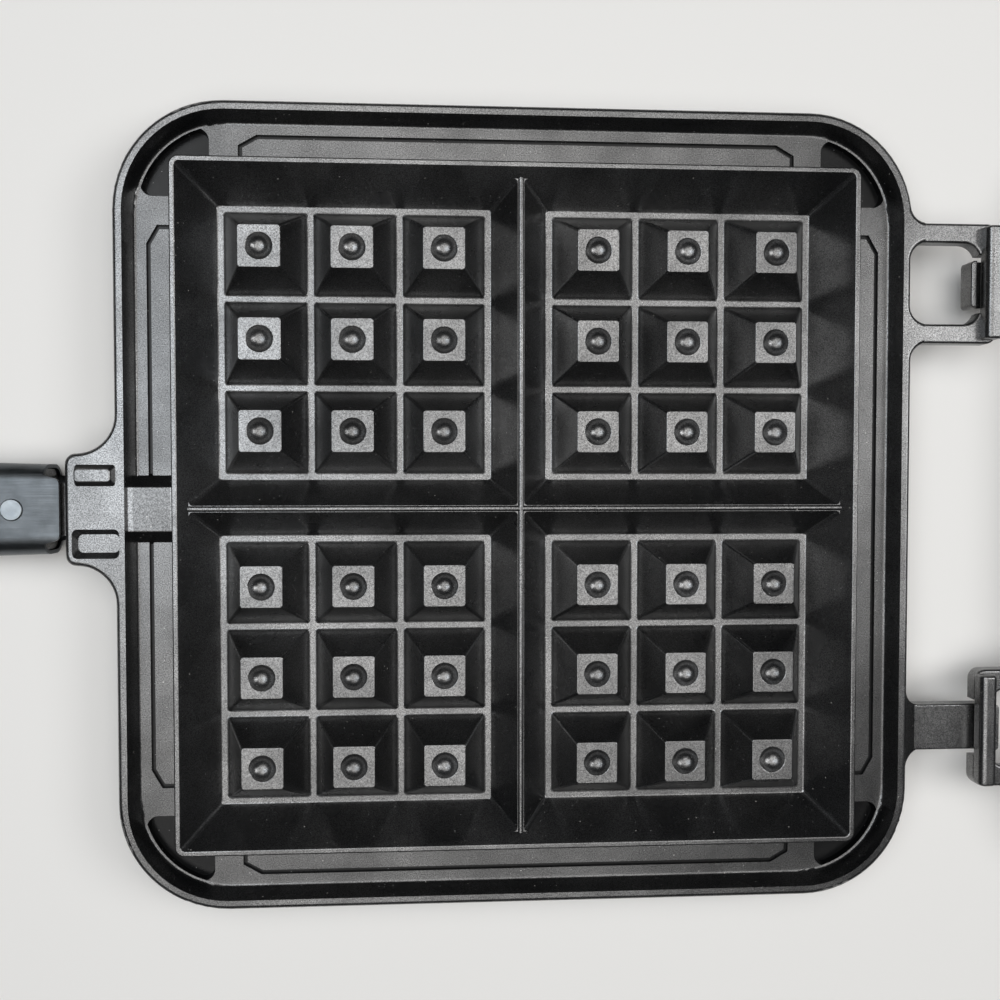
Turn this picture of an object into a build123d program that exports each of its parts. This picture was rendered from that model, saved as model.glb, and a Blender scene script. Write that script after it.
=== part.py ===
from build123d import *
import os
from math import atan2, degrees, sqrt

# Stovetop waffle iron: two identical die-cast halves that hook into each other.
# It stands open: the lower half lies to the left of the hinge, the upper half to the right,
# both with the cooking face up.
#
# Every half is drawn in its own plate frame, in millimetres: X away from the handle, Y across,
# Z up, with the origin at the plate's centre in the mating plane, where the closed halves meet.
# The whole iron has its origin under the middle of the hinge, on the surface it stands on.

# ---- plate casting ----
PLATE_SIZE = 200.0          # outer side of the square lip
LIP_CORNER = 27.0           # outer corner radius of the lip in plan
LIP_WIDTH = 2.35            # lip measured across its top
LIP_WALL_RUN = 1.65         # how far the lip's inner wall runs in before it meets the ledge
LIP_EDGE_RADIUS = 1.1       # rounding of the lip's outer top edge
LIP_INNER_RADIUS = 0.4      # rounding of its inner top edge
MEETING_GAP = 0.3           # between the lips of the closed halves
OVERLAP = 0.5               # how far solids that are cast as one run into each other
QUARTER_TURNS = (0, 90, 180, 270)
LEDGE_DEPTH = 5.2           # overflow ledge below the mating plane
FLANGE_UNDERSIDE = 10.6     # underside of the lip and ledge below the mating plane
FLANGE_FOOT_RADIUS = 3.0

BLOCK_INSET = 14.3          # from the lip's outline in to the centre of the cooking block's rim
RIM_WIDTH = 1.3
RIM_EDGE_RADIUS = 0.4
RIM_CORNER = 2.4
BLOCK_DRAFT_RUN = 0.55      # outward run of the block's outer wall down to the ledge

FLOOR_DEPTH = 12.2          # cooking floor below the mating plane
BASE_THICKNESS = 3.3        # metal under the cooking floor
BASE_STEP = 1.7             # how far the stepped base stands out past the block's foot
BASE_CORNER = 10.0
BASE_DRAFT_RUN = 0.7        # inward run of the base's wall down to its flat underside
BASE_EDGE_RADIUS = 1.6

# ---- cooking grid ----
WALL_RUN = 7.75             # how far each compartment's outer wall slopes in
PEGS_PER_ROW = 3            # in each of the four compartments
BAND_WIDTH = 1.8            # flat floor band between the pegs
DIVIDER_FOOT = 7.1          # half width of the cross divider at the floor
DIVIDER_TOP_DEPTH = 3.0     # divider top below the mating plane
DIVIDER_CREST_RADIUS = 0.85
DIVIDER_SHOULDER = 0.8      # half width where the sloping sides end under the round crest
DIVIDER_SHOULDER_DROP = 0.4
COMPARTMENT_CORNER = 1.3
FOOT_RADIUS = 0.6           # where pegs and walls meet the floor
PEG_WALL_RUN = 5.25         # how far each side of a peg slopes in
PEG_TOP_DEPTH = 1.5         # peg top below the mating plane
PEG_CORNER = 0.8
PEG_EDGE_RADIUS = 0.3
DIMPLE_SHARE = 0.62         # dimple's diameter as a share of the peg's top
DIMPLE_DEPTH_SHARE = 0.32   # its depth as a share of its diameter
DIMPLE_EDGE_RADIUS = 0.3

# ---- overflow ledge ----
GROOVE_WIDTH = 1.1
GROOVE_DEPTH = 0.9
GROOVE_INSET = 7.4          # from the lip's outline in to the groove's centre line
GROOVE_END_INSET = 30.0     # from the lip's outline to where each groove turns in to the block
GROOVE_CHAMFER = 4.2
GROOVE_CHAMFER_RISE = 2.4
POCKET_REACH = 9.3          # corner pocket: length along each side of the block's corner
POCKET_DEPTH = 2.6          # below the ledge
POCKET_END_RADIUS = 3.0
POCKET_DRAFT = 10.0         # degrees
BRIDGE_TOP_WIDTH = 11.1
BRIDGE_FOOT_WIDTH = 16.8
BRIDGE_TOP_DEPTH = 1.5      # below the mating plane
BRIDGE_EDGE_RADIUS = 0.7
MOAT_FOOT_RADIUS = 0.8      # where lip and ledge meet
BLOCK_FOOT_RADIUS = 0.5     # where block and ledge meet

# ---- handle lug with its locating keys ----
HANDLE_LUG_LENGTH = 12.0    # beyond the lip's outline
HANDLE_LUG_WIDTH = 27.6
HANDLE_LUG_CORNER = 2.6
HANDLE_LUG_FILLET = 9.5
KEY_LENGTH = 10.0
KEY_WIDTH = 5.8
KEY_TOP_LENGTH = 8.6
KEY_TOP_WIDTH = 3.1
KEY_HEIGHT = 2.0
KEY_OFFSET = 4.6            # key's centre beyond the lip's outline
KEY_CENTRE_Y = 8.4
KEY_CORNER = 0.8
KEY_CLEARANCE = 0.7         # all round, between key and pocket
KEY_HEADROOM = 0.6
KEY_EDGE_RADIUS = 0.4

# ---- loop-and-hook hinge ----
HINGE_OFFSET = 20.7         # hinge axis beyond the lip's outline, in the mating plane
HINGE_Y = 57.6              # centre of the loop and of the hook from the plate's centre line
BAR_WIDTH = 4.4
BAR_HEIGHT = 4.8
BAR_EDGE_RADIUS = 1.5
HOOK_CLEARANCE = 0.35       # between the turning bar and the hook
HOOK_SIDE_CLEARANCE = 1.4   # between the hook's sides and the loop's relief under the bar
LOOP_WIDTH = 30.7
LOOP_ARM = 5.0              # width of each arm
LOOP_HOLE_INSET = 0.3       # how far the loop's hole bites into the lip
LOOP_HOLE_CORNER = 4.6
LOOP_CORNER = 2.8
LOOP_ARM_DEPTH = 1.0        # arm top below the mating plane
LOOP_THICKNESS = 5.4        # underside of the loop below the mating plane
LUG_STEP = 3.3              # the lugs step down from the lip's level here, beyond its outline
LUG_FILLET = 4.5
LUG_EDGE_RADIUS = 0.7
HOOK_WIDTH = 12.0
HOOK_THICKNESS = 4.0
HOOK_LIP = 1.6              # thickness of the upturned lip
HOOK_LIP_HEIGHT = 1.7
HOOK_CORNER = 1.0
HOOK_ROOT_DROP = 0.3        # below the lip's top, where the slope to the hook's face starts
HOOK_EDGE_RADIUS = 0.5
HOOK_LIP_EDGE_RADIUS = 0.4

# ---- tang and handle ----
TANG_NECK_WIDTH = 13.0
TANG_NECK_TOP = 3.6         # below the mating plane
TANG_NECK_THICKNESS = 8.0
TANG_NECK_LENGTH = 6.0
TANG_BLOCK_LENGTH = 24.0
TANG_TAIL_WIDTH = 9.0
TANG_TAIL_LENGTH = 42.0
GRIP_WALL = 4.1             # moulding above and below the tang's tail
FERRULE_GAP = 1.6           # daylight between handle lug and ferrule
FERRULE_LENGTH = 40.0
FERRULE_TONGUE = 3.8        # how far the front and back plates pass the side walls
FERRULE_TONGUE_WIDTH = 14.8
FERRULE_TONGUE_TAPER = 1.3  # widening of each tongue edge over its length
FERRULE_TONGUE_CORNER = 1.6
FERRULE_WALL = 0.9
FERRULE_FRONT_WIDTH = 22.2
FERRULE_REAR_WIDTH = 24.4
HANDLE_THICKNESS = 13.2
HANDLE_AXIS_DEPTH = 7.7     # handle centre line below the mating plane
HANDLE_EDGE_RADIUS = 4.6
FIT_CLEARANCE = 0.15        # tang in ferrule, grip in ferrule, tang in grip
RIVET_DIAMETER = 5.0
RIVET_HEAD_DIAMETER = 5.4
RIVET_HEAD_HEIGHT = 0.5
RIVET_HEAD_EDGE = 0.3
RIVET_FROM_END = 11.3       # rivet centre from the ferrule's tongue end
RIVET_CLEARANCE = 0.05
GRIP_LENGTH = 128.0         # behind the ferrule
GRIP_NECK = 10.0            # inside the ferrule
GRIP_WAIST_WIDTH = 22.6
GRIP_BELLY_WIDTH = 28.4
GRIP_TAIL_WIDTH = 24.0
GRIP_WAIST_SHARE = 0.09     # of the grip's length, from the ferrule
GRIP_BELLY_SHARE = 0.55
GRIP_SLIMMING = 0.6         # thinner by this at waist and tail
GRIP_END_RADIUS = 3.4
HANGING_HOLE_DIAMETER = 9.0
HANGING_HOLE_FROM_END = 13.0
HANGING_HOLE_EDGE = 0.8
SCREW_DIAMETER = 4.0
SCREW_HEAD_DIAMETER = 8.0
SCREW_HEAD_HEIGHT = 2.4
SCREW_HEAD_EDGE = 0.9
SCREW_HEAD_PROUD = 0.4      # of the grip's underside
SCREW_SLOT_WIDTH = 1.0
SCREW_SLOT_DEPTH = 1.1
SCREW_CLEARANCE = 0.2
SCREW_FROM_FERRULE = 20.0
WASHER_DIAMETER = 9.0
WASHER_THICKNESS = 0.8
COUNTERBORE_DIAMETER = 10.0

# ---- levels and places that follow from them, in the plate frame ----
top_z = -MEETING_GAP / 2
ledge_z = -LEDGE_DEPTH
flange_z = -FLANGE_UNDERSIDE
floor_z = -FLOOR_DEPTH
base_z = floor_z - BASE_THICKNESS
divider_z = -DIVIDER_TOP_DEPTH
plate_half = PLATE_SIZE / 2
rim_half = plate_half - BLOCK_INSET
rim_outer = rim_half + RIM_WIDTH / 2
rim_inner = rim_half - RIM_WIDTH / 2
block_foot = rim_outer + BLOCK_DRAFT_RUN
base_half = block_foot + BASE_STEP
compartment_far = rim_inner - WALL_RUN
peg_pitch = (compartment_far - DIVIDER_FOOT - BAND_WIDTH) / PEGS_PER_ROW
first_peg = DIVIDER_FOOT + (BAND_WIDTH + peg_pitch) / 2
peg_base = peg_pitch - BAND_WIDTH
peg_top = peg_base - 2 * PEG_WALL_RUN
peg_top_z = -PEG_TOP_DEPTH
mouth_z = (top_z + peg_top_z) / 2
dimple_diameter = DIMPLE_SHARE * peg_top
dimple_depth = DIMPLE_DEPTH_SHARE * dimple_diameter
lip_inner = plate_half - LIP_WIDTH
moat_foot = lip_inner - LIP_WALL_RUN
moat_corner = LIP_CORNER - LIP_WIDTH - LIP_WALL_RUN
groove_line = plate_half - GROOVE_INSET
groove_end = plate_half - GROOVE_END_INSET
handle_lug_x = -plate_half - HANDLE_LUG_LENGTH
key_x = -plate_half - KEY_OFFSET
hinge_x = plate_half + HINGE_OFFSET
lug_step_x = plate_half + LUG_STEP
bar_reach = (sqrt((BAR_WIDTH / 2 - BAR_EDGE_RADIUS) ** 2 + (BAR_HEIGHT / 2 - BAR_EDGE_RADIUS) ** 2)
             + BAR_EDGE_RADIUS)
hook_face_z = -(bar_reach + HOOK_CLEARANCE)
hook_under_z = hook_face_z - HOOK_THICKNESS
hook_end = hinge_x + bar_reach + HOOK_CLEARANCE + HOOK_LIP
loop_end = hinge_x + BAR_WIDTH / 2
loop_hole_start = plate_half - LOOP_HOLE_INSET
loop_hole_end = hinge_x - BAR_WIDTH / 2
handle_z = -HANDLE_AXIS_DEPTH
ferrule_x = handle_lug_x - FERRULE_GAP
ferrule_rear_x = ferrule_x - FERRULE_LENGTH
grip_end_x = ferrule_rear_x - GRIP_LENGTH
tang_block_x = handle_lug_x - TANG_NECK_LENGTH
tang_tail_x = tang_block_x - TANG_BLOCK_LENGTH
tang_end_x = tang_tail_x - TANG_TAIL_LENGTH
rivet_x = ferrule_x - RIVET_FROM_END
screw_x = ferrule_rear_x - SCREW_FROM_FERRULE
hanging_x = grip_end_x + HANGING_HOLE_FROM_END
tang_inner_height = HANDLE_THICKNESS - 2 * FERRULE_WALL - 2 * FIT_CLEARANCE
tail_thickness = HANDLE_THICKNESS - 2 * GRIP_WALL


def around(width, depth, z, centre=(0, 0)):
    """Rectangle about a centre, as the corners and level (x0, x1, y0, y1, z) that a wedge takes."""
    x, y = centre
    return x - width / 2, x + width / 2, y - depth / 2, y + depth / 2, z


def wedge(low, high, corner):
    """Solid with flat sloping sides between two level rectangles, its upright edges rounded."""
    x0, x1, y0, y1, low_z = low
    x2, x3, y2, y3, high_z = high
    front = Polygon((x0, low_z), (x1, low_z), (x3, high_z), (x2, high_z), align=None)
    side = Polygon((y0, low_z), (y1, low_z), (y3, high_z), (y2, high_z), align=None)
    solid = (extrude(Plane.XZ * front, amount=PLATE_SIZE, both=True)
             & extrude(Plane.YZ * side, amount=PLATE_SIZE, both=True))
    slack = (high_z - low_z) / 4
    return fillet([e for e in solid.edges() if abs(e.center().Z - (low_z + high_z) / 2) < slack], corner)


def drafted(side, corner, run, wide_z, narrow_z):
    """Square block with rounded corners, drawn in all round by the run from one level to another."""
    height = abs(narrow_z - wide_z)
    plan = Pos(0, 0, wide_z) * RectangleRounded(side, side, corner)
    return extrude(plan, amount=height, dir=(0, 0, (narrow_z - wide_z) / height),
                   taper=degrees(atan2(run, height)))


def block(x0, x1, y0, y1, z0, z1):
    """Plain box between two corners."""
    return Pos((x0 + x1) / 2, (y0 + y1) / 2, (z0 + z1) / 2) * Box(x1 - x0, y1 - y0, z1 - z0)


def rectangle(x0, x1, y0, y1):
    """Flat rectangle between two corners, at height 0."""
    return Pos((x0 + x1) / 2, (y0 + y1) / 2) * Rectangle(x1 - x0, y1 - y0)


def round_corners(sketch, places, radius, reach=0.6):
    """Flat outline with the corners at the given places rounded."""
    slab = extrude(sketch, amount=1)
    uprights = [e for e in slab.edges().filter_by(Axis.Z)
                if any(abs(e.center().X - x) < reach and abs(e.center().Y - y) < reach
                       for x, y in places)]
    rounded = fillet(uprights, radius)
    return Sketch() + Pos(0, 0, -1) * rounded.faces().sort_by(Axis.Z)[-1]


def at_height(shapes, z):
    """The edges or faces whose middle is at one level."""
    return [s for s in shapes if abs(s.center().Z - z) < 0.005]


# ---- casting ----
def plate_outline():
    return RectangleRounded(PLATE_SIZE, PLATE_SIZE, LIP_CORNER)


def arc_foot(y):
    """X where the lip's outline is met by a line at height y, also round its corner."""
    rise = max(0.0, abs(y) - (plate_half - LIP_CORNER))
    return plate_half - LIP_CORNER + sqrt(LIP_CORNER ** 2 - rise ** 2)


def handle_lug_plan():
    """Plan of the lip with the handle lug and its fillets."""
    half = HANDLE_LUG_WIDTH / 2
    outline = plate_outline() + rectangle(handle_lug_x, 0, -half, half)
    outline = round_corners(outline, [(-plate_half, half), (-plate_half, -half)],
                            HANDLE_LUG_FILLET)
    return round_corners(outline, [(handle_lug_x, half), (handle_lug_x, -half)],
                         HANDLE_LUG_CORNER)


def hinge_lug_plan(width, centre_y, x_end, end_corner):
    """Plan of the lip with one lug on the hinge side and its fillets."""
    low = centre_y - width / 2
    high = centre_y + width / 2
    outline = plate_outline() + rectangle(0, x_end, low, high)
    outline = round_corners(outline, [(arc_foot(low), low), (arc_foot(high), high)], LUG_FILLET)
    return round_corners(outline, [(x_end, low), (x_end, high)], end_corner)


def loop_plan():
    return hinge_lug_plan(LOOP_WIDTH, HINGE_Y, loop_end, LOOP_CORNER)


def hook_plan():
    return hinge_lug_plan(HOOK_WIDTH, -HINGE_Y, hook_end, HOOK_CORNER)


def loop_hole():
    """Outline of the hole between the loop's arms, closed at its end by the bar."""
    length = loop_hole_end - loop_hole_start
    return Pos(loop_hole_start + length / 2, HINGE_Y) * RectangleRounded(
        length, LOOP_WIDTH - 2 * LOOP_ARM, LOOP_HOLE_CORNER)


def flange():
    """Lip, ledge and the roots of the lugs as one slab, still solid, its edges rounded."""
    plan = handle_lug_plan()
    near = rectangle(-PLATE_SIZE, lug_step_x, -PLATE_SIZE, PLATE_SIZE)
    crown = plan + (loop_plan() & near) - loop_hole()
    upper = extrude(Pos(0, 0, -LOOP_THICKNESS) * crown, amount=LOOP_THICKNESS + top_z)
    rounded = [e for e in upper.faces().sort_by(Axis.Z)[-1].edges() if e.center().X < lug_step_x - 0.01]
    upper = fillet(rounded, LIP_EDGE_RADIUS)
    lower = extrude(Pos(0, 0, flange_z) * plan, amount=-flange_z - LOOP_THICKNESS)
    lower = fillet(lower.faces().sort_by(Axis.Z)[0].edges(), FLANGE_FOOT_RADIUS)
    return upper + lower


def stepped_base():
    """Flat base of the cooking block, which stands on the stove."""
    foot = drafted(2 * base_half, BASE_CORNER, BASE_DRAFT_RUN, flange_z, base_z)
    foot = fillet(foot.faces().sort_by(Axis.Z)[0].edges(), BASE_EDGE_RADIUS)
    inner = base_half - BASE_CORNER
    return foot + block(-inner, inner, -inner, inner, flange_z - OVERLAP, flange_z + OVERLAP)


def moat():
    """Space between the lip and the cooking block, down to the ledge, with rounded feet."""
    inside = drafted(2 * lip_inner, moat_corner + LIP_WALL_RUN, LIP_WALL_RUN, top_z, ledge_z)
    inside = fillet(inside.faces().sort_by(Axis.Z)[0].edges(), MOAT_FOOT_RADIUS)
    core = drafted(2 * block_foot, RIM_CORNER + BLOCK_DRAFT_RUN, BLOCK_DRAFT_RUN, ledge_z, top_z)
    ring = inside - core
    foot = ring.faces().sort_by(Axis.Z)[0].inner_wires()[0]
    return fillet(foot.edges(), BLOCK_FOOT_RADIUS)


def lip_and_rim(body):
    """Rounds the lip's inner top edge and both edges of the block's rim."""
    rings = at_height(body.faces(), top_z)
    lip = [e for face in rings for wire in face.inner_wires() for e in wire.edges()
           if wire.bounding_box().size.X > 2 * block_foot]
    body = fillet(lip, LIP_INNER_RADIUS)
    rims = [e for face in rings for wire in face.wires() for e in wire.edges()
            if wire.bounding_box().size.X < 2 * block_foot]
    return fillet(rims, RIM_EDGE_RADIUS)


def corner_pockets():
    """Bean-shaped pockets in the ledge, one hugging each corner of the block."""
    reach = block_foot - POCKET_REACH
    outer = RectangleRounded(2 * moat_foot, 2 * moat_foot, moat_corner)
    inner = RectangleRounded(2 * block_foot, 2 * block_foot, RIM_CORNER + BLOCK_DRAFT_RUN)
    bean = (outer - inner) & rectangle(reach, plate_half, reach, plate_half)
    ends = [(v.X, v.Y) for v in bean.vertices()
            if min(v.X, v.Y) < reach + 0.01 and max(v.X, v.Y) > block_foot + 1]
    bean = round_corners(bean, ends, POCKET_END_RADIUS)
    pocket = extrude(Pos(0, 0, ledge_z) * bean, amount=POCKET_DEPTH, dir=(0, 0, -1), taper=POCKET_DRAFT)
    return [Rot(0, 0, turn) * pocket for turn in QUARTER_TURNS]


def ledge_groove():
    """Narrow groove along one side of the block, its ends turned in to the block's wall."""
    turn_in = groove_line - GROOVE_CHAMFER_RISE
    flat = groove_end - GROOVE_CHAMFER
    path = Polyline((-groove_end, block_foot - 1), (-groove_end, turn_in), (-flat, groove_line),
                    (flat, groove_line), (groove_end, turn_in), (groove_end, block_foot - 1))
    strip = trace(path, line_width=GROOVE_WIDTH) - rectangle(-plate_half, plate_half, 0,
                                                             block_foot + BLOCK_FOOT_RADIUS)
    return extrude(Pos(0, 0, ledge_z - GROOVE_DEPTH) * strip, amount=GROOVE_DEPTH + OVERLAP)


def bridge():
    """Raised block that crosses the ledge behind the handle lug."""
    foot = BRIDGE_FOOT_WIDTH / 2
    crown = BRIDGE_TOP_WIDTH / 2
    slope = (foot - crown) / (LEDGE_DEPTH - BRIDGE_TOP_DEPTH)
    deep = foot + slope * OVERLAP
    shape = Polygon((-deep, ledge_z - OVERLAP), (deep, ledge_z - OVERLAP),
                    (crown, -BRIDGE_TOP_DEPTH), (-crown, -BRIDGE_TOP_DEPTH), align=None)
    start = -lip_inner - OVERLAP
    side = Plane(origin=(start, 0, 0), x_dir=(0, 1, 0), z_dir=(1, 0, 0))
    bar = extrude(side * shape, amount=-start - rim_outer + OVERLAP / 2)
    return fillet(at_height(bar.edges().filter_by(Axis.X), -BRIDGE_TOP_DEPTH), BRIDGE_EDGE_RADIUS)


def peg():
    """Square tapered peg with a round dimple in its top."""
    body = wedge(around(peg_base, peg_base, floor_z), around(peg_top, peg_top, peg_top_z), PEG_CORNER)
    body = fillet(body.faces().sort_by(Axis.Z)[-1].edges(), PEG_EDGE_RADIUS)
    ball = ((dimple_diameter / 2) ** 2 + dimple_depth ** 2) / (2 * dimple_depth)
    body -= Pos(0, 0, peg_top_z - dimple_depth + ball) * Sphere(ball)
    rim = at_height(body.edges().filter_by(GeomType.CIRCLE), peg_top_z)
    return fillet([e for e in rim if abs(e.radius - dimple_diameter / 2) < 0.01], DIMPLE_EDGE_RADIUS)


def mouth():
    """Top of the block's hollow, above the pegs and the dividers."""
    wall_slope = WALL_RUN / (top_z - floor_z)
    low = 2 * (rim_inner - wall_slope * (top_z - mouth_z))
    high = 2 * (rim_inner + wall_slope)
    return wedge(around(low, low, mouth_z), around(high, high, top_z + 1), COMPARTMENT_CORNER)


def quarter_hollow():
    """Hollow of one quarter of the block: its compartment, less the pegs, open over the divider."""
    wall_slope = WALL_RUN / (top_z - floor_z)
    shoulder_z = divider_z - DIVIDER_SHOULDER_DROP
    ends = []
    for z, near in ((floor_z, DIVIDER_FOOT), (shoulder_z, DIVIDER_SHOULDER)):
        far = compartment_far + wall_slope * (z - floor_z)
        ends.append((near, far, near, far, z))
    hollow = wedge(*ends, COMPARTMENT_CORNER)
    low = 2 * (rim_inner - wall_slope * (top_z - shoulder_z))
    high = 2 * (rim_inner - wall_slope * (top_z - mouth_z))
    over = wedge(around(low, low, shoulder_z), around(high, high, mouth_z), COMPARTMENT_CORNER)
    hollow += over & block(-OVERLAP, plate_half, -OVERLAP, plate_half, base_z, 1)
    crest = DIVIDER_CREST_RADIUS
    hollow -= [Pos(0, 0, divider_z - crest) * turn * Cylinder(crest, 2 * plate_half)
               for turn in (Rot(90, 0, 0), Rot(0, 90, 0))]
    one = peg()
    steps = [first_peg + i * peg_pitch for i in range(PEGS_PER_ROW)]
    hollow -= [Pos(x, y, 0) * one for x in steps for y in steps]
    return fillet(at_height(hollow.edges(), floor_z), FOOT_RADIUS)


def locating_key():
    """Raised tapered pad on the handle lug."""
    centre = (key_x, KEY_CENTRE_Y)
    key = wedge(around(KEY_LENGTH, KEY_WIDTH, top_z - OVERLAP, centre),
                around(KEY_TOP_LENGTH, KEY_TOP_WIDTH, KEY_HEIGHT, centre), KEY_CORNER)
    return fillet(key.faces().sort_by(Axis.Z)[-1].edges(), KEY_EDGE_RADIUS)


def key_pocket():
    """Recess that takes the other half's key."""
    grow = 2 * KEY_CLEARANCE
    deep = KEY_HEIGHT + KEY_HEADROOM
    centre = (key_x, -KEY_CENTRE_Y)
    return wedge(around(KEY_TOP_LENGTH + grow, KEY_TOP_WIDTH + grow, -deep, centre),
                 around(KEY_LENGTH + grow, KEY_WIDTH + grow, top_z, centre), KEY_CORNER + KEY_CLEARANCE)


def loop_arms():
    """The loop's two arms, lower than the lip, with the notch under the bar for the hook."""
    side = HOOK_WIDTH / 2 + HOOK_SIDE_CLEARANCE
    root = lug_step_x - OVERLAP
    reach = LOOP_WIDTH / 2 + LUG_FILLET
    lug = rectangle(root, loop_end + 1, HINGE_Y - reach, HINGE_Y + reach)
    notch = rectangle(loop_hole_end - 1, loop_end + 1, HINGE_Y - side, HINGE_Y + side)
    plan = (loop_plan() & lug) - loop_hole() - notch
    arms = extrude(Pos(0, 0, -LOOP_THICKNESS) * plan, amount=LOOP_THICKNESS - LOOP_ARM_DEPTH)
    for z in (-LOOP_THICKNESS, -LOOP_ARM_DEPTH):
        arms = fillet([e for e in at_height(arms.edges(), z) if e.center().X > root + 0.01],
                      LUG_EDGE_RADIUS)
    return arms


def hinge_bar():
    """Bar across the end of the loop, which turns in the other half's hook."""
    side = Plane(origin=(hinge_x, HINGE_Y - LOOP_WIDTH / 2 + 1, 0), x_dir=(1, 0, 0), z_dir=(0, 1, 0))
    bar = extrude(side * RectangleRounded(BAR_WIDTH, BAR_HEIGHT, BAR_EDGE_RADIUS),
                  amount=LOOP_WIDTH - 2)
    ends = bar.faces().sort_by(Axis.Y)
    return fillet(ends[0].edges() + ends[-1].edges(), LUG_EDGE_RADIUS)


def hinge_hook():
    """Flat hook with a sloping root and an upturned lip at its end."""
    lip_start = hook_end - HOOK_LIP
    lip_z = hook_face_z + HOOK_LIP_HEIGHT
    root = plate_half - LIP_WIDTH / 2
    profile = Polygon((root, hook_under_z), (hook_end, hook_under_z), (hook_end, lip_z), (lip_start, lip_z),
                      (lip_start, hook_face_z), (lug_step_x, hook_face_z), (root, top_z - HOOK_ROOT_DROP),
                      align=None)
    reach = HOOK_WIDTH / 2 + LUG_FILLET
    side = Plane(origin=(0, -HINGE_Y + reach, 0), x_dir=(1, 0, 0), z_dir=(0, -1, 0))
    plan = hook_plan() & rectangle(root, hook_end + 1, -HINGE_Y - reach, -HINGE_Y + reach)
    prism = extrude(Pos(0, 0, hook_under_z) * plan, amount=top_z - hook_under_z)
    hook = prism & extrude(side * profile, amount=2 * reach)
    hook = fillet([e for e in at_height(hook.edges(), hook_under_z) if e.center().X > lug_step_x],
                  HOOK_EDGE_RADIUS)
    hook = fillet(at_height(hook.edges().filter_by(Axis.X), hook_face_z), HOOK_EDGE_RADIUS)
    return fillet(at_height(hook.edges(), lip_z), HOOK_LIP_EDGE_RADIUS)


def tang():
    """Neck, ferrule block and tail that carry the handle."""
    neck = block(tang_block_x, handle_lug_x + HANDLE_LUG_CORNER, -TANG_NECK_WIDTH / 2, TANG_NECK_WIDTH / 2,
                 -TANG_NECK_TOP - TANG_NECK_THICKNESS, -TANG_NECK_TOP)
    width = FERRULE_FRONT_WIDTH - 2 * FERRULE_WALL - 2 * FIT_CLEARANCE
    core = along_x(tang_tail_x, tang_block_x, width, tang_inner_height, HANDLE_EDGE_RADIUS - FERRULE_WALL)
    tail = block(tang_end_x, tang_tail_x, -TANG_TAIL_WIDTH / 2, TANG_TAIL_WIDTH / 2,
                 handle_z - tail_thickness / 2, handle_z + tail_thickness / 2)
    return neck + core + tail


def along_x(x0, x1, width, height, corner, width1=None, height1=None):
    """Rounded bar along the handle, from x0 to x1, centred on the handle's line."""
    sizes = [(x0, width, height), (x1, width1 or width, height1 or height)]
    ends = [Plane(origin=(x, 0, handle_z), x_dir=(0, 1, 0), z_dir=(1, 0, 0))
            * RectangleRounded(w, h, corner) for x, w, h in sizes]
    return loft(ends, ruled=True)


def upright(x, diameter, z0, z1):
    """Round bar or hole along Z on the handle's centre line."""
    return Pos(x, 0, (z0 + z1) / 2) * Cylinder(diameter / 2, z1 - z0)


def plate():
    """The whole casting of one half."""
    body = flange() + stepped_base()
    body = lip_and_rim(body - moat() - mouth())
    body -= corner_pockets()
    groove = ledge_groove()
    body -= [Rot(0, 0, turn) * groove for turn in QUARTER_TURNS]
    for raised in (bridge(), loop_arms(), hinge_bar(), hinge_hook(), tang(), locating_key()):
        body += raised
    body -= key_pocket()
    body -= upright(rivet_x, RIVET_DIAMETER + 2 * RIVET_CLEARANCE, base_z, 0)
    body -= upright(screw_x, SCREW_DIAMETER + 2 * RIVET_CLEARANCE, base_z, 0)
    quarter = quarter_hollow()
    for turn in QUARTER_TURNS:
        body -= Rot(0, 0, turn) * quarter
    return body


# ---- handle ----
def ferrule():
    """Plated sheet sleeve over the tang: a closed section whose front and back run on as tongues."""
    outer = along_x(ferrule_rear_x, ferrule_x, FERRULE_REAR_WIDTH, HANDLE_THICKNESS,
                    HANDLE_EDGE_RADIUS, FERRULE_FRONT_WIDTH, HANDLE_THICKNESS)
    wall = 2 * FERRULE_WALL
    inner = along_x(ferrule_rear_x, ferrule_x, FERRULE_REAR_WIDTH - wall,
                    HANDLE_THICKNESS - wall, HANDLE_EDGE_RADIUS - FERRULE_WALL,
                    FERRULE_FRONT_WIDTH - wall, HANDLE_THICKNESS - wall)
    sleeve = outer - inner
    side_end = ferrule_x - FERRULE_TONGUE
    half = FERRULE_TONGUE_WIDTH / 2
    tongue = Polygon((side_end - 1, -half - FERRULE_TONGUE_TAPER), (ferrule_x, -half),
                     (ferrule_x, half), (side_end - 1, half + FERRULE_TONGUE_TAPER), align=None)
    tongue = round_corners(tongue, [(ferrule_x, half), (ferrule_x, -half)], FERRULE_TONGUE_CORNER)
    front = rectangle(side_end, ferrule_x + 1, -FERRULE_REAR_WIDTH, FERRULE_REAR_WIDTH) - tongue
    sleeve -= extrude(Pos(0, 0, base_z) * front, amount=-base_z)
    return sleeve - upright(rivet_x, RIVET_DIAMETER + 2 * RIVET_CLEARANCE, base_z, 0)


def ferrule_rivet():
    """Through rivet with a low head on each face of the ferrule."""
    high = handle_z + HANDLE_THICKNESS / 2
    low = handle_z - HANDLE_THICKNESS / 2
    shank = upright(rivet_x, RIVET_DIAMETER, low - RIVET_HEAD_HEIGHT, high + RIVET_HEAD_HEIGHT)
    heads = [upright(rivet_x, RIVET_HEAD_DIAMETER, high, high + RIVET_HEAD_HEIGHT),
             upright(rivet_x, RIVET_HEAD_DIAMETER, low - RIVET_HEAD_HEIGHT, low)]
    rivet = shank + heads
    ends = rivet.edges().filter_by(GeomType.CIRCLE).sort_by(Axis.Z)
    return fillet([ends[0], ends[-1]], RIVET_HEAD_EDGE)


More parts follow.
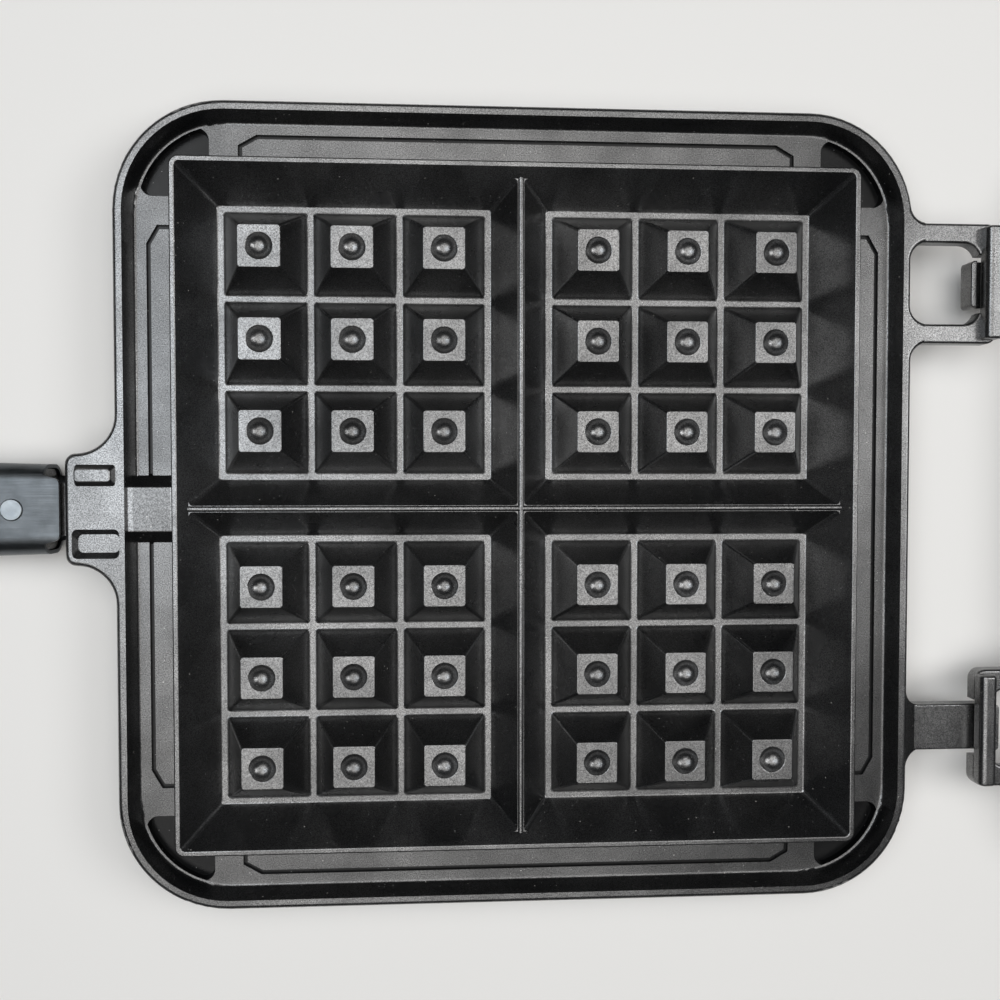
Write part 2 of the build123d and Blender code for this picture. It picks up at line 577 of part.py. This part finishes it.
def grip_section(x, width, height, corner):
    return (Plane(origin=(x, 0, handle_z), x_dir=(0, 1, 0), z_dir=(1, 0, 0))
            * RectangleRounded(width, height, corner))


def grip():
    """Moulded grip with its neck in the ferrule and a hanging hole at its end."""
    height = HANDLE_THICKNESS
    slim = height - GRIP_SLIMMING
    stations = [(0, FERRULE_REAR_WIDTH, height), (GRIP_WAIST_SHARE, GRIP_WAIST_WIDTH, slim),
                (GRIP_BELLY_SHARE, GRIP_BELLY_WIDTH, height), (1, GRIP_TAIL_WIDTH, slim)]
    body = loft([grip_section(ferrule_rear_x - share * GRIP_LENGTH, w, h, HANDLE_EDGE_RADIUS)
                 for share, w, h in stations])
    body = fillet(body.faces().sort_by(Axis.X)[0].edges(), GRIP_END_RADIUS)
    wall = 2 * (FERRULE_WALL + FIT_CLEARANCE)
    narrow = FERRULE_REAR_WIDTH - (FERRULE_REAR_WIDTH - FERRULE_FRONT_WIDTH) * GRIP_NECK / FERRULE_LENGTH
    neck = along_x(ferrule_rear_x - OVERLAP, ferrule_rear_x + GRIP_NECK, narrow - wall, height - wall,
                   HANDLE_EDGE_RADIUS - FERRULE_WALL)
    body += neck
    slot_width = TANG_TAIL_WIDTH + 2 * FIT_CLEARANCE
    slot_height = tail_thickness + 2 * FIT_CLEARANCE
    body -= block(tang_end_x - 1, ferrule_rear_x + GRIP_NECK + 1, -slot_width / 2, slot_width / 2,
                  handle_z - slot_height / 2, handle_z + slot_height / 2)
    seat = washer_seat_z()
    body -= upright(screw_x, SCREW_DIAMETER + 2 * SCREW_CLEARANCE, seat - 1, handle_z)
    body -= upright(screw_x, COUNTERBORE_DIAMETER, base_z - 1, seat)
    body -= upright(hanging_x, HANGING_HOLE_DIAMETER, base_z - 1, 1)
    bores = body.faces().filter_by(GeomType.CYLINDER)
    rims = bores.sort_by_distance((hanging_x, 0, handle_z))[0].edges()
    return fillet([e for e in rims if e.geom_type != GeomType.LINE], HANGING_HOLE_EDGE)


def washer_seat_z():
    """Floor of the screw's counterbore, on the grip's underside."""
    return handle_z - HANDLE_THICKNESS / 2 + SCREW_HEAD_HEIGHT + WASHER_THICKNESS - SCREW_HEAD_PROUD


def grip_washer():
    seat = washer_seat_z()
    return (upright(screw_x, WASHER_DIAMETER, seat - WASHER_THICKNESS, seat)
            - upright(screw_x, SCREW_DIAMETER + 2 * SCREW_CLEARANCE, seat - 2, seat + 1))


def grip_screw():
    """Pan-head screw from below, through the grip into the tang's tail."""
    head_top = washer_seat_z() - WASHER_THICKNESS
    head = upright(screw_x, SCREW_HEAD_DIAMETER, head_top - SCREW_HEAD_HEIGHT, head_top)
    head_under = head_top - SCREW_HEAD_HEIGHT
    head = fillet(head.edges().filter_by(GeomType.CIRCLE).sort_by(Axis.Z)[0], SCREW_HEAD_EDGE)
    head -= block(screw_x - SCREW_HEAD_DIAMETER, screw_x + SCREW_HEAD_DIAMETER, -SCREW_SLOT_WIDTH / 2,
                  SCREW_SLOT_WIDTH / 2, head_under - 1, head_under + SCREW_SLOT_DEPTH)
    return head + upright(screw_x, SCREW_DIAMETER, head_top - OVERLAP, handle_z + tail_thickness / 2)


# ---- both halves in the frame of the whole iron ----
pieces = {
    "plate": plate(),
    "ferrule": ferrule(),
    "ferrule_rivet": ferrule_rivet(),
    "grip": grip(),
    "grip_washer": grip_washer(),
    "grip_screw": grip_screw(),
}
to_iron = Pos(-hinge_x, 0, -base_z)
halves = {"lower": to_iron, "upper": Rot(0, 0, 180) * to_iron}

os.makedirs("parts", exist_ok=True)
for half_name, place in halves.items():
    for piece_name, solid in pieces.items():
        export_step(place * solid, f"parts/{half_name}_{piece_name}.step")
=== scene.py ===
# %% [markdown]
# # A stovetop waffle iron, given its finish
#
# The iron is two identical cast plates with sheet-steel ferrules and moulded grips. They hook into
# each other without a pin. The CAD model holds every shape and size. This script loads it and gives
# each piece the surface that the real one has: a speckled non-stick coating on the castings, zinc
# plating on the ferrules, bare steel on the rivets, and a dark moulding compound on the grips.

# %% Load the model as a fixed frame
import bpy
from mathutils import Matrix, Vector

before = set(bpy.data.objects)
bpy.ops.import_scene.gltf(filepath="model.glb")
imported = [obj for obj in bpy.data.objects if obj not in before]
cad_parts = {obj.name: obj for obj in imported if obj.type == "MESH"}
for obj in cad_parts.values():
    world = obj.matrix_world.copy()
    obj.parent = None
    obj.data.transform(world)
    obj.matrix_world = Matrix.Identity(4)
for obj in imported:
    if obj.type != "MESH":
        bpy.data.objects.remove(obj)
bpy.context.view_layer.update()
print("pieces:", sorted(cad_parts))

# %% [markdown]
# ## Camera
#
# The real iron was looked at straight on, from about 26 cm, with a fairly wide lens. Here it lies on
# its base instead, so the camera hangs over the lower half and looks down at it. Its place and tilt
# could be set by eye. They were worked out from the plate's edges instead, because an eye misses a
# tilt of three degrees, and then no edge of the grid lines up.

# %% The camera over the lower half
CAMERA_PLACE = (-0.14144, 0.00978, 0.26271)
CAMERA_TILT = (-0.03043, -0.06144, 0.0)
CAMERA_LENS = 35.66
CAMERA_SENSOR = 36.0
NEAREST_SEEN = 0.01

camera_data = bpy.data.cameras.new("camera")
camera_data.sensor_width = CAMERA_SENSOR
camera_data.lens = CAMERA_LENS
camera_data.clip_start = NEAREST_SEEN
camera = bpy.data.objects.new("camera", camera_data)
camera.location = CAMERA_PLACE
camera.rotation_euler = CAMERA_TILT
bpy.context.scene.collection.objects.link(camera)
bpy.context.scene.camera = camera
print("camera height in mm:", round(1000 * camera.location.z))

# %% [markdown]
# ## Small helpers for materials
#
# Every finish below is a Principled shader fed by a few noise textures. They read Object
# coordinates, which stay with the piece when it moves, so that the pattern neither slides nor
# stretches. Each node could be placed and wired on its own. Short helpers do it here, so that a
# finish reads as a list of what is on the surface.

# %% Helpers that make materials and nodes
def new_material(name, roughness=0.5, metallic=0.0):
    material = bpy.data.materials.new(name)
    material.use_nodes = True
    shader = material.node_tree.nodes["Principled BSDF"]
    shader.inputs["Roughness"].default_value = roughness
    shader.inputs["Metallic"].default_value = metallic
    return material, material.node_tree, shader


def add(tree, kind, **settings):
    """A node of one kind, with its settings and, by socket name, its fixed inputs."""
    node = tree.nodes.new(kind)
    for key, value in settings.pop("inputs", {}).items():
        node.inputs[key].default_value = value
    for key, value in settings.items():
        setattr(node, key, value)
    return node


def feed(tree, socket, value):
    """Gives a socket another node's output or, where the value is fixed, the value itself."""
    if isinstance(value, bpy.types.NodeSocket):
        tree.links.new(value, socket)
    elif isinstance(value, (int, float)):
        socket.default_value = value
    else:
        socket.default_value = (*value, 1)


# %% Helpers for patterns and arithmetic
def object_point(tree, scale=(1, 1, 1)):
    """Object coordinates, stretched for a pattern with a direction."""
    place = add(tree, "ShaderNodeTexCoord")
    mapping = add(tree, "ShaderNodeMapping", inputs={"Scale": scale})
    tree.links.new(place.outputs["Object"], mapping.inputs["Vector"])
    return mapping.outputs["Vector"]


def noise(tree, point, scale, detail=2.0, roughness=0.5):
    node = add(tree, "ShaderNodeTexNoise",
               inputs={"Scale": scale, "Detail": detail, "Roughness": roughness})
    tree.links.new(point, node.inputs["Vector"])
    return node.outputs["Fac"]


def ramp(tree, value, *stops):
    """Colour ramp: each stop is a place from 0 to 1 and a grey or a colour."""
    node = add(tree, "ShaderNodeValToRGB")
    for element, (place, colour) in zip(node.color_ramp.elements, stops):
        element.position = place
        grey = (colour,) * 3 if isinstance(colour, (int, float)) else colour
        element.color = (*grey, 1)
    tree.links.new(value, node.inputs["Fac"])
    return node.outputs["Color"]


def mix(tree, factor, first, second, blend_type="MIX"):
    """Mixes two colours; each is an output or a fixed colour, and the factor an output or a number."""
    node = add(tree, "ShaderNodeMix", data_type="RGBA", blend_type=blend_type)
    for socket, value in zip((node.inputs[0], node.inputs[6], node.inputs[7]), (factor, first, second)):
        feed(tree, socket, value)
    return node.outputs[2]


def calculate(tree, operation, first, second=0.0):
    """A Math node on two values, each an output or a number."""
    node = add(tree, "ShaderNodeMath", operation=operation)
    for socket, value in zip(node.inputs, (first, second)):
        feed(tree, socket, value)
    return node.outputs["Value"]


def bump(tree, shader, height, distance, strength=1.0, after=None):
    node = add(tree, "ShaderNodeBump", inputs={"Strength": strength, "Distance": distance})
    tree.links.new(height, node.inputs["Height"])
    if after:
        tree.links.new(after, node.inputs["Normal"])
    tree.links.new(node.outputs["Normal"], shader.inputs["Normal"])
    return node.outputs["Normal"]


print("helpers are ready")

# %% [markdown]
# ## Light specks and dust
#
# The coat carries pale specks a few tenths of a millimetre wide, and dust lies on it. Small spheres
# could be scattered over the plate, at the cost of thousands of pieces. A cell pattern gives the same
# dots for nothing: each cell may hold one round dot, and its random colour decides whether it does.

# %% Dots in a cell pattern
def dots(tree, point, spacing, radius, share):
    """Round dots in a share of the cells: 1 inside a dot, 0 outside. Sizes in metres."""
    cells = add(tree, "ShaderNodeTexVoronoi", inputs={"Scale": 1 / spacing})
    tree.links.new(point, cells.inputs["Vector"])
    chance = add(tree, "ShaderNodeSeparateColor")
    tree.links.new(cells.outputs["Color"], chance.inputs["Color"])
    chosen = calculate(tree, "LESS_THAN", chance.outputs["Red"], share)
    inside = add(tree, "ShaderNodeMapRange", inputs={"From Min": radius / spacing,
                                                     "From Max": 0.6 * radius / spacing})
    tree.links.new(cells.outputs["Distance"], inside.inputs["Value"])
    return calculate(tree, "MULTIPLY", inside.outputs["Result"], chosen)


SPECKS = {"spacing": 0.0013, "radius": 0.00015, "share": 0.45}
SPECK_GREY = (0.20, 0.20, 0.20)
DUST = {"spacing": 0.0034, "radius": 0.00020, "share": 0.70}
DUST_GREY = (0.34, 0.33, 0.31)
print("specks are", 2000 * SPECKS["radius"], "mm wide, dust", 2000 * DUST["radius"], "mm")

# %% [markdown]
# ## Old grease on the ledge, and painted shade in its hollows
#
# Batter that runs over has dulled the overflow ledge a little. Its grooves and pockets are dulled a
# lot more, and that is painted shade: it stands for the shade that falls in these narrow hollows. The
# mask could be painted by hand, point by point. A mask made of sizes is steadier: the ledge lies
# between the cooking block and the lip, and its hollows lie below its level. At the lip's rounded
# corners the distance is measured from the corner's centre. Both halves have the same drawing, so the
# distance along the iron is taken from the hinge without its sign.

# %% Where the grease and the painted shade lie
HINGE_TO_CENTRE = 0.1207
BLOCK_HALF = 0.0869
LIP_INNER = 0.0960
LIP_CORNER = 0.0230
LEDGE = 0.0103
# Below this depth under the ledge lies the painted shade of the grooves and pockets.
HOLLOW_SHADE_BELOW = 0.0003
FILM_ON_LEDGE = 0.35


def grease_and_hollow_shade(tree):
    """1 in the grooves and pockets of the ledge, as painted shade; a part of it on the ledge, as a
    grease film; 0 elsewhere.
    """
    parts = add(tree, "ShaderNodeSeparateXYZ")
    tree.links.new(object_point(tree), parts.inputs["Vector"])
    along = calculate(tree, "ABSOLUTE", parts.outputs["X"])
    from_centre = calculate(tree, "ABSOLUTE", calculate(tree, "SUBTRACT", along, HINGE_TO_CENTRE))
    across = calculate(tree, "ABSOLUTE", parts.outputs["Y"])
    reach = calculate(tree, "MAXIMUM", from_centre, across)
    outside_block = calculate(tree, "GREATER_THAN", reach, BLOCK_HALF)
    squares = []
    for side in (from_centre, across):
        into_corner = calculate(tree, "SUBTRACT", side, LIP_INNER - LIP_CORNER)
        into_corner = calculate(tree, "MAXIMUM", into_corner, 0.0)
        squares.append(calculate(tree, "MULTIPLY", into_corner, into_corner))
    inside_lip = calculate(tree, "LESS_THAN", calculate(tree, "ADD", *squares), LIP_CORNER ** 2)
    on_ledge = calculate(tree, "MULTIPLY", outside_block, inside_lip)
    low = calculate(tree, "LESS_THAN", parts.outputs["Z"], LEDGE - HOLLOW_SHADE_BELOW)
    return calculate(tree, "MULTIPLY", on_ledge, calculate(tree, "MAXIMUM", low, FILM_ON_LEDGE))


print("ledge is", round(1000 * (LIP_INNER - BLOCK_HALF), 1), "mm wide")

# %% [markdown]
# ## The coated castings
#
# The plates are die-cast aluminium with a sprayed black non-stick coating. Its colour is nearly
# black. What makes the flats shine is its hard satin gloss, so the flats that face the light turn
# grey while the slopes stay black. A grey paint would lighten the slopes too. So the base stays
# black, and a high index of refraction gives it a stronger reflection than plain paint has. One noise
# breaks up both the reflection and the surface, as the grain of the coat does, and wide faint smudges
# show where it has been wiped.

# %% Coating for the castings
COATING_INDEX = 2.3
COAT_DARK = (0.0030, 0.0032, 0.0036)
COAT_LIGHT = (0.0060, 0.0060, 0.0060)
COAT_SHEEN = (0.25, 0.80)
WIPED_SHEEN = (0.78, 1.12)
# Reflection level for the painted shade in the ledge's hollows and for the grease film on the ledge.
FILM_AND_SHADE_SHEEN = (0.06, 0.06, 0.06)
COAT_ROUGHNESS = (0.25, 0.32)
GRAIN_SCALE = 3400
SMUDGE_SCALE = 55
GLOSS_SCALE = 90
CLOUD_SCALE = 24
GRAIN_HEIGHT = 0.00004
CLOUD_HEIGHT = 0.0004


def coated_casting():
    material, tree, shader = new_material("coated_casting")
    shader.inputs["IOR"].default_value = COATING_INDEX
    point = object_point(tree)
    grain = noise(tree, point, GRAIN_SCALE, 2.0, 0.6)
    cloud = noise(tree, point, CLOUD_SCALE, 3.0)
    colour = ramp(tree, cloud, (0.35, COAT_DARK), (0.7, COAT_LIGHT))
    colour = mix(tree, dots(tree, point, **SPECKS), colour, SPECK_GREY)
    colour = mix(tree, dots(tree, point, **DUST), colour, DUST_GREY)
    tree.links.new(colour, shader.inputs["Base Color"])
    sheen = ramp(tree, grain, (0.34, COAT_SHEEN[0]), (0.66, COAT_SHEEN[1]))
    wiping = noise(tree, point, SMUDGE_SCALE, 5.0, 0.6)
    smudges = ramp(tree, wiping, (0.38, WIPED_SHEEN[0]), (0.62, WIPED_SHEEN[1]))
    sheen = mix(tree, 1.0, sheen, smudges, "MULTIPLY")
    # In the ledge's grooves and pockets this turns the reflection down as painted shade; on the ledge
    # it is a dull grease film.
    sheen = mix(tree, grease_and_hollow_shade(tree), sheen, FILM_AND_SHADE_SHEEN)
    tree.links.new(sheen, shader.inputs["Specular IOR Level"])
    unevenness = noise(tree, point, GLOSS_SCALE, 3.0)
    roughness = ramp(tree, unevenness, (0.3, COAT_ROUGHNESS[0]), (0.7, COAT_ROUGHNESS[1]))
    tree.links.new(roughness, shader.inputs["Roughness"])
    fine = bump(tree, shader, grain, GRAIN_HEIGHT, 0.5)
    bump(tree, shader, cloud, CLOUD_HEIGHT, 0.15, fine)
    return material


finishes = {"plate": coated_casting()}
print("the plates get", finishes["plate"].name)

# %% [markdown]
# ## Ferrules, rivets, screws and washers
#
# The ferrules are zinc-plated sheet: blue-grey and faintly mottled, with fine scratches along the
# handle. The rivets, screws and washers are brighter steel. One function makes them all, because they
# differ only in colour, gloss and scratches. Scratches could be engraved as lines. A noise that is
# squeezed across the handle and left long beside it draws thousands of them at once.

# %% Plated and steel finishes
MOTTLE_SCALE = 210
SCRATCH_DEPTH = 0.00003
ZINC = {"dark": (0.062, 0.068, 0.073), "light": (0.120, 0.130, 0.138),
        "glossiest": 0.30, "dullest": 0.48, "scratches": (60, 2600, 2600)}
RIVET = {"dark": (0.14, 0.155, 0.17), "light": (0.25, 0.27, 0.28),
         "glossiest": 0.28, "dullest": 0.42, "scratches": (900, 900, 900)}
SCREW = {"dark": (0.30, 0.31, 0.32), "light": (0.50, 0.51, 0.52),
         "glossiest": 0.25, "dullest": 0.42, "scratches": (1200, 1200, 300)}


def metal(name, dark, light, glossiest, dullest, scratches):
    """Metal with colour from dark to light, and scratches squeezed by a scale along X, Y and Z."""
    material, tree, shader = new_material(name, metallic=1.0)
    lines = noise(tree, object_point(tree, scale=scratches), 1.0, 4.0, 0.65)
    mottle = noise(tree, object_point(tree), MOTTLE_SCALE, 4.0)
    colour = ramp(tree, mottle, (0.3, dark), (0.7, light))
    colour = mix(tree, ramp(tree, lines, (0.35, 0.0), (0.75, 0.5)), colour, light)
    tree.links.new(colour, shader.inputs["Base Color"])
    roughness = ramp(tree, lines, (0.3, glossiest), (0.7, dullest))
    tree.links.new(roughness, shader.inputs["Roughness"])
    bump(tree, shader, lines, SCRATCH_DEPTH, 0.5)
    return material


finishes["ferrule"] = metal("ferrule_steel", **ZINC)
finishes["ferrule_rivet"] = metal("rivet_steel", **RIVET)
finishes["grip_screw"] = finishes["grip_washer"] = metal("screw_steel", **SCREW)
print("metal finishes:", sorted(kind for kind in finishes if kind != "plate"))

# %% [markdown]
# ## Grips
#
# The grips are a thermoset moulding, dark and dull, with a fine even grain. A plain dark plastic would
# look new and wet. So its black wanders a little, pale filler shows through here and there, and the
# roughness changes with the same slow pattern as the colour, where hands have polished it.

# %% Moulded grips
GRIP_BLACK = (0.012, 0.011, 0.011)
GRIP_WORN = (0.022, 0.020, 0.019)
GRIP_ROUGHNESS = (0.40, 0.52)
FILLER_GREY = (0.06, 0.055, 0.05)
FILLER_SCALE = 1500
WEAR_SCALE = 40
FILLER_HEIGHT = 0.00004


def grip_moulding():
    material, tree, shader = new_material("grip_moulding")
    point = object_point(tree)
    grain = noise(tree, point, FILLER_SCALE, 3.0, 0.6)
    wear = noise(tree, point, WEAR_SCALE, 3.0)
    colour = ramp(tree, wear, (0.3, GRIP_BLACK), (0.7, GRIP_WORN))
    colour = mix(tree, ramp(tree, grain, (0.5, 0.0), (0.8, 0.35)), colour, FILLER_GREY)
    tree.links.new(colour, shader.inputs["Base Color"])
    roughness = ramp(tree, wear, (0.3, GRIP_ROUGHNESS[0]), (0.7, GRIP_ROUGHNESS[1]))
    tree.links.new(roughness, shader.inputs["Roughness"])
    bump(tree, shader, grain, FILLER_HEIGHT, 0.4)
    return material


finishes["grip"] = grip_moulding()
print("finishes:", sorted(finishes))

# %% [markdown]
# ## Finish every piece
#
# A piece's name says which half it belongs to and what it is, such as lower_grip_screw. The part after
# the half's name picks the finish, so both halves get the same ones.

# %% Give each piece its finish
for name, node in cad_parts.items():
    kind = name.split("_", 1)[1]
    node.data.materials.clear()
    node.data.materials.append(finishes[kind])
    print(name, "has", finishes[kind].name)

# %% [markdown]
# ## Floor
#
# A plain pale floor catches the shadow. A floor lit by lamps grows dark in the distance, and a huge
# lamp to even it out would grey the iron's slopes. So the camera sees the floor fade into a backdrop
# of the same tone away from the iron, which has no effect on the light.

# %% Pale floor with a fading edge
FLOOR_SIZE = 6.0
FLOOR_COLOUR = (0.80, 0.79, 0.77)
BACKDROP = (0.76, 0.755, 0.74)
FADE_FROM = 0.32
FADE_TO = 0.75


def pale_floor():
    """Floor colour near the iron; further out the camera sees the backdrop's tone."""
    material, tree, shader = new_material("floor", roughness=0.8)
    shader.inputs["Base Color"].default_value = (*FLOOR_COLOUR, 1)
    distance = add(tree, "ShaderNodeVectorMath", operation="LENGTH")
    tree.links.new(object_point(tree), distance.inputs[0])
    fade = add(tree, "ShaderNodeMapRange", interpolation_type="SMOOTHSTEP",
               inputs={"From Min": FADE_FROM, "From Max": FADE_TO})
    tree.links.new(distance.outputs["Value"], fade.inputs["Value"])
    seen = add(tree, "ShaderNodeLightPath").outputs["Is Camera Ray"]
    far = add(tree, "ShaderNodeEmission", inputs={"Color": (*BACKDROP, 1)})
    both = add(tree, "ShaderNodeMixShader")
    tree.links.new(calculate(tree, "MULTIPLY", fade.outputs["Result"], seen), both.inputs[0])
    tree.links.new(shader.outputs["BSDF"], both.inputs[1])
    tree.links.new(far.outputs["Emission"], both.inputs[2])
    tree.links.new(both.outputs["Shader"], tree.nodes["Material Output"].inputs["Surface"])
    return material


bpy.ops.mesh.primitive_plane_add(size=FLOOR_SIZE)
floor = bpy.context.object
floor.name = "floor"
floor.data.materials.append(pale_floor())
print("floor is", FLOOR_SIZE, "m wide")

# %% [markdown]
# ## Light
#
# The light is soft, and comes from a wide panel above and behind the camera, with a cooler one to its
# left and another over the hinge. A flat top mirrors the panel and shines, while a slope mirrors the
# dim room beside it and stays black. A lit room all round would be simpler, but it would show in the
# slopes as well. Only the camera sees the room in the backdrop's tone.

# %% Lamps
PLATE_CENTRE = (-0.1207, 0, 0)
HINGE = (0, 0, 0)
WARM_WHITE = (1.0, 0.985, 0.97)
WINDOW_BLUE = (0.76, 0.88, 1.0)


def soft_panel(name, place, aim, size, watts, colour=(1, 1, 1)):
    """A round lamp, its size in metres, that faces a point."""
    lamp = bpy.data.lights.new(name, "AREA")
    lamp.shape = "DISK"
    lamp.size = size
    lamp.energy = watts
    lamp.color = colour
    panel = bpy.data.objects.new(name, lamp)
    panel.location = place
    panel.rotation_euler = (Vector(aim) - Vector(place)).to_track_quat("-Z", "Y").to_euler()
    bpy.context.scene.collection.objects.link(panel)
    print(name, "gives", watts, "W")


soft_panel("key_panel", (-0.20, 0.05, 0.85), PLATE_CENTRE, size=1.15, watts=7.2, colour=WARM_WHITE)
soft_panel("window_panel", (-0.52, 0.12, 0.85), PLATE_CENTRE, size=0.50, watts=1.2, colour=WINDOW_BLUE)
soft_panel("side_panel", (0.66, 0.12, 0.80), HINGE, size=0.54, watts=3.5)

# %% The dim room
DIM_ROOM = (0.030, 0.031, 0.033)

world = bpy.data.worlds.new("room")
bpy.context.scene.world = world
world.use_nodes = True
room = world.node_tree
seen = add(room, "ShaderNodeLightPath").outputs["Is Camera Ray"]
room.links.new(mix(room, seen, DIM_ROOM, BACKDROP), room.nodes["Background"].inputs["Color"])
bpy.context.scene.view_settings.view_transform = "Standard"
print("view transform:", bpy.context.scene.view_settings.view_transform)
